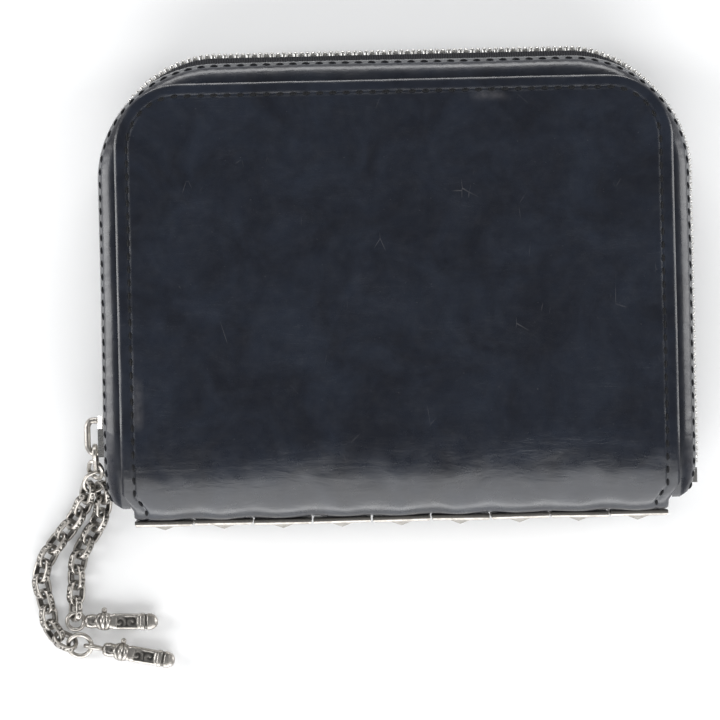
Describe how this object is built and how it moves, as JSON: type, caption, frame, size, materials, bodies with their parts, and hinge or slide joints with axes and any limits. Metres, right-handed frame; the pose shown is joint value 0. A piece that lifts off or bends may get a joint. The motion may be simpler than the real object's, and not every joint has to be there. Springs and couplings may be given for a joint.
{
  "type": "chain wallet",
  "caption": "Compact zip-around leather wallet with a plated spine, card and coin pockets inside, and a two-strand chain pull with charms on its slider.",
  "frame": {"origin": "middle of the back cover's outer face, in the middle of the wallet's footprint", "axes": "+X along the spine, +Y from the spine to the far zip edge, +Z through the thickness from the back cover to the front cover"},
  "size_m": [0.1369, 0.1244, 0.026],
  "materials": {
    "cover_leather": "glazed, creased",
    "inside_leather": "smooth satin",
    "zip_tape": "woven",
    "board": "stiffened board",
    "silver": "oxidised silver",
    "zip_metal": "polished, lightly worn"
  },
  "bodies": {
    "back_half": {"back_cover": "cover_leather", "back_side_band": "cover_leather", "back_zip_tape": "zip_tape", "back_zip_teeth": "zip_metal", "back_lining": "inside_leather", "back_card_pocket_1": "inside_leather", "back_card_pocket_2": "inside_leather", "back_card_pocket_3": "inside_leather", "zip_bottom_stop": "zip_metal"},
    "spine": {"spine_leather": "cover_leather", "spine_board": "board", "spine_plates": "silver", "plate_rivets": "silver", "pouch_tongue": "inside_leather", "pouch_back_wall": "inside_leather", "pouch_front_wall": "inside_leather", "pouch_gusset": "inside_leather", "pouch_zip_tape": "zip_tape", "pouch_zip_teeth": "zip_metal"},
    "front_half": {"front_cover": "cover_leather", "front_side_band": "cover_leather", "front_zip_tape": "zip_tape", "front_zip_teeth": "zip_metal", "front_lining": "inside_leather", "front_card_pocket_1": "inside_leather", "front_card_pocket_2": "inside_leather", "front_card_pocket_3": "inside_leather"},
    "slider": {"zip_slider": "zip_metal", "slider_bridge": "silver"},
    "pouch_slider": {"pouch_slider": "zip_metal"},
    "pouch_puller": {"pouch_puller": "zip_metal"},
    "pull_link": {"pull_link": "silver"},
    "swivel_link": {"swivel_link": "silver"},
    "split_ring": {"split_ring": "silver"},
    "outer_link_1": {"outer_link_1": "silver"},
    "outer_link_2": {"outer_link_2": "silver"},
    "outer_link_3": {"outer_link_3": "silver"},
    "outer_link_4": {"outer_link_4": "silver"},
    "outer_link_5": {"outer_link_5": "silver"},
    "outer_link_6": {"outer_link_6": "silver"},
    "outer_link_7": {"outer_link_7": "silver"},
    "outer_link_8": {"outer_link_8": "silver"},
    "outer_link_9": {"outer_link_9": "silver"},
    "outer_link_10": {"outer_link_10": "silver"},
    "outer_link_11": {"outer_link_11": "silver"},
    "outer_link_12": {"outer_link_12": "silver"},
    "jump_ring": {"jump_ring": "silver"},
    "outer_charm": {"outer_charm": "silver"},
    "inner_link_1": {"inner_link_1": "silver"},
    "inner_link_2": {"inner_link_2": "silver"},
    "inner_link_3": {"inner_link_3": "silver"},
    "inner_link_4": {"inner_link_4": "silver"},
    "inner_link_5": {"inner_link_5": "silver"},
    "inner_link_6": {"inner_link_6": "silver"},
    "inner_link_7": {"inner_link_7": "silver"},
    "inner_link_8": {"inner_link_8": "silver"},
    "inner_link_9": {"inner_link_9": "silver"},
    "inner_charm": {"inner_charm": "silver"}
  },
  "joints": [
    {"name": "spine_fold", "type": "hinge", "parent": "back_half", "child": "spine", "pos_m": [0, -0.0455, 0.0056], "axis": [1, 0, 0], "range_deg": [0, 50], "deforming": ["spine_leather", "front_zip_tape", "front_zip_teeth", "back_zip_tape", "back_zip_teeth"]},
    {"name": "cover_fold", "type": "hinge", "parent": "spine", "child": "front_half", "pos_m": [0, -0.0455, 0.0204], "axis": [1, 0, 0], "range_deg": [0, 50]},
    {"name": "zip_slide", "type": "slide", "parent": "back_half", "child": "slider", "axis": [0, 1, 0], "range_m": [0, 0.015]},
    {"name": "pouch_slide", "type": "slide", "parent": "spine", "child": "pouch_slider", "axis": [1, 0, 0], "range_m": [0, 0.07], "deforming": ["pouch_zip_tape", "pouch_zip_teeth"]},
    {"name": "pouch_puller_swing", "type": "hinge", "parent": "pouch_slider", "child": "pouch_puller", "pos_m": [-0.038, 0.0321, 0.013], "axis": [0, 0, 1], "range_deg": [0, 170]},
    {"name": "pull_link_swing", "type": "hinge", "parent": "slider", "child": "pull_link", "pos_m": [-0.06222, -0.0325, 0.013], "axis": [-1, 0, 0], "range_deg": [-20, 75]},
    {"name": "swivel_link_swing", "type": "hinge", "parent": "pull_link", "child": "swivel_link", "pos_m": [-0.06222, -0.0351, 0.0098], "axis": [0.9701, -0.2425, 0], "range_deg": [-20, 18]},
    {"name": "split_ring_swing", "type": "hinge", "parent": "swivel_link", "child": "split_ring", "pos_m": [-0.06272, -0.0371, 0.0071], "axis": [-1, 0, 0], "range_deg": [-30, 18]},
    {"name": "outer_link_1_swing", "type": "hinge", "parent": "split_ring", "child": "outer_link_1", "pos_m": [-0.06398, -0.03943, 0.00535], "axis": [0.9466, -0.3223, 0], "range_deg": [-25, 25]},
    {"name": "outer_link_2_swing", "type": "hinge", "parent": "outer_link_1", "child": "outer_link_2", "pos_m": [-0.06489, -0.04209, 0.00367], "axis": [-0.8926, 0.4508, 0], "range_deg": [-25, 25]},
    {"name": "outer_link_3_swing", "type": "hinge", "parent": "outer_link_2", "child": "outer_link_3", "pos_m": [-0.06625, -0.04479, 0.00249], "axis": [0.8222, -0.5692, 0], "range_deg": [-25, 25]},
    {"name": "outer_link_4_swing", "type": "hinge", "parent": "outer_link_3", "child": "outer_link_4", "pos_m": [-0.06807, -0.04741, 0.00195], "axis": [-0.7593, 0.6508, 0], "range_deg": [-25, 25]},
    {"name": "outer_link_5_swing", "type": "hinge", "parent": "outer_link_4", "child": "outer_link_5", "pos_m": [-0.0702, -0.0499, 0.00195], "axis": [0.7768, -0.6298, 0], "range_deg": [-25, 25]},
    {"name": "outer_link_6_swing", "type": "hinge", "parent": "outer_link_5", "child": "outer_link_6", "pos_m": [-0.07227, -0.05245, 0.00195], "axis": [-0.863, 0.5052, 0], "range_deg": [-25, 25]},
    {"name": "outer_link_7_swing", "type": "hinge", "parent": "outer_link_6", "child": "outer_link_7", "pos_m": [-0.07392, -0.05528, 0.00195], "axis": [0.9639, -0.2661, 0], "range_deg": [-25, 25]},
    {"name": "outer_link_8_swing", "type": "hinge", "parent": "outer_link_7", "child": "outer_link_8", "pos_m": [-0.07479, -0.05844, 0.00195], "axis": [-0.9811, -0.1937, 0], "range_deg": [-25, 25]},
    {"name": "outer_link_9_swing", "type": "hinge", "parent": "outer_link_8", "child": "outer_link_9", "pos_m": [-0.07416, -0.06165, 0.00195], "axis": [0.9727, 0.2321, 0], "range_deg": [-25, 25]},
    {"name": "outer_link_10_swing", "type": "hinge", "parent": "outer_link_9", "child": "outer_link_10", "pos_m": [-0.0734, -0.06483, 0.00195], "axis": [-0.9954, -0.0957, 0], "range_deg": [-25, 25]},
    {"name": "outer_link_11_swing", "type": "hinge", "parent": "outer_link_10", "child": "outer_link_11", "pos_m": [-0.07309, -0.06804, 0.00195], "axis": [0.8407, 0.5415, 0], "range_deg": [-25, 25]},
    {"name": "outer_link_12_swing", "type": "hinge", "parent": "outer_link_11", "child": "outer_link_12", "pos_m": [-0.07136, -0.07073, 0.00195], "axis": [-0.4635, -0.8861, 0], "range_deg": [-25, 25]},
    {"name": "jump_ring_swing", "type": "hinge", "parent": "outer_link_12", "child": "jump_ring", "pos_m": [-0.0685, -0.07222, 0.00195], "axis": [0.1392, 0.9903, 0], "range_deg": [-25, 25]},
    {"name": "outer_charm_swing", "type": "hinge", "parent": "jump_ring", "child": "outer_charm", "pos_m": [-0.06534, -0.07266, 0.00195], "axis": [-0.1391, -0.9903, 0], "range_deg": [-25, 12]},
    {"name": "inner_link_1_swing", "type": "hinge", "parent": "split_ring", "child": "inner_link_1", "pos_m": [-0.06146, -0.03943, 0.00535], "axis": [0.9977, 0.0677, 0], "range_deg": [-4, 15]},
    {"name": "inner_link_2_swing", "type": "hinge", "parent": "inner_link_1", "child": "inner_link_2", "pos_m": [-0.06126, -0.04227, 0.00373], "axis": [-0.9919, 0.1274, 0], "range_deg": [-20, 20]},
    {"name": "inner_link_3_swing", "type": "hinge", "parent": "inner_link_2", "child": "inner_link_3", "pos_m": [-0.06164, -0.04522, 0.00241], "axis": [0.8974, -0.4413, 0], "range_deg": [-15, 25]},
    {"name": "inner_link_4_swing", "type": "hinge", "parent": "inner_link_3", "child": "inner_link_4", "pos_m": [-0.06303, -0.04803, 0.00195], "axis": [-0.8255, 0.5644, 0], "range_deg": [-25, 25]},
    {"name": "inner_link_5_swing", "type": "hinge", "parent": "inner_link_4", "child": "inner_link_5", "pos_m": [-0.06488, -0.05074, 0.00195], "axis": [0.8695, -0.4939, 0], "range_deg": [-25, 25]},
    {"name": "inner_link_6_swing", "type": "hinge", "parent": "inner_link_5", "child": "inner_link_6", "pos_m": [-0.06649, -0.05358, 0.00195], "axis": [-0.9681, 0.2507, 0], "range_deg": [-25, 25]},
    {"name": "inner_link_7_swing", "type": "hinge", "parent": "inner_link_6", "child": "inner_link_7", "pos_m": [-0.0673, -0.0567, 0.00195], "axis": [1, 0.0015, 0], "range_deg": [-25, 25]},
    {"name": "inner_link_8_swing", "type": "hinge", "parent": "inner_link_7", "child": "inner_link_8", "pos_m": [-0.06729, -0.05998, 0.00195], "axis": [-0.9956, 0.0932, 0], "range_deg": [-25, 25]},
    {"name": "inner_link_9_swing", "type": "hinge", "parent": "inner_link_8", "child": "inner_link_9", "pos_m": [-0.0676, -0.0632, 0.00209], "axis": [0.9999, -0.0145, 0], "range_deg": [-17, 25]},
    {"name": "inner_charm_swing", "type": "hinge", "parent": "inner_link_9", "child": "inner_charm", "pos_m": [-0.06764, -0.06642, 0.00235], "axis": [-1, 0, 0], "range_deg": [-25, 25]}
  ],
  "couplings": [
    {"joint": "cover_fold", "follows": "spine_fold", "ratio": 1}
  ]
}
